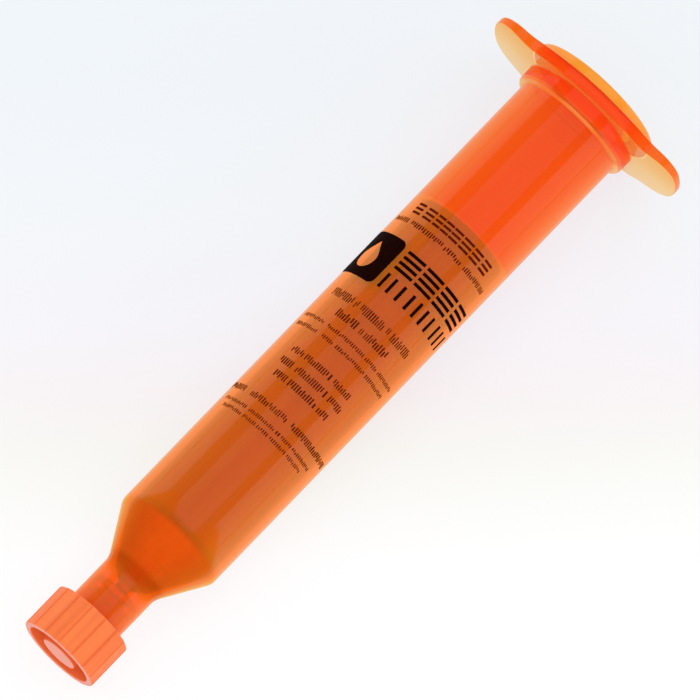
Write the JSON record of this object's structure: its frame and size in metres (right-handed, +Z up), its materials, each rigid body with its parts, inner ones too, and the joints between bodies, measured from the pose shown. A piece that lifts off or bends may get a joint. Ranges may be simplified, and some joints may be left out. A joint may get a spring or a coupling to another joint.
{
  "type": "solder mask syringe",
  "caption": "Amber dispensing barrel of liquid solder mask, lying on its side, with finger flange, piston, snap-in end cap and ribbed tip cap over its tapered outlet.",
  "frame": {"origin": "centre of the ground under the part's bounding box", "axes": "+X along the barrel towards the outlet, +Y across the finger flange, +Z up; metres"},
  "size_m": [0.119, 0.037, 0.0227],
  "materials": {
    "amber_barrel": "see-through amber polypropylene, moulded and glossy",
    "mask_fluid": "thick opaque liquid, smooth and wet",
    "clear_piston": "see-through natural polyethylene, smooth",
    "amber_cap": "see-through yellow-amber polyethylene, smooth",
    "orange_cap": "orange polypropylene, satin from the mould",
    "black_ink": "black screen-printing ink, thin film"
  },
  "bodies": {
    "barrel": {"barrel": "amber_barrel", "fluid_fill": "mask_fluid", "ink_print": "black_ink"},
    "piston": {"piston": "clear_piston"},
    "end_cap": {"end_cap": "amber_cap"},
    "tip_cap": {"tip_cap": "orange_cap"}
  },
  "joints": [
    {"name": "piston_push", "type": "slide", "parent": "barrel", "child": "piston", "axis": [0.9997, 0, -0.0235], "range_m": [0, 0.064], "deforming": ["fluid_fill"]},
    {"name": "end_cap_pull", "type": "slide", "parent": "barrel", "child": "end_cap", "axis": [-0.9997, 0, 0.0235], "range_m": [0, 0.03]},
    {"name": "tip_cap_pull", "type": "slide", "parent": "barrel", "child": "tip_cap", "axis": [0.9997, 0, -0.0235], "range_m": [0, 0.025]}
  ]
}
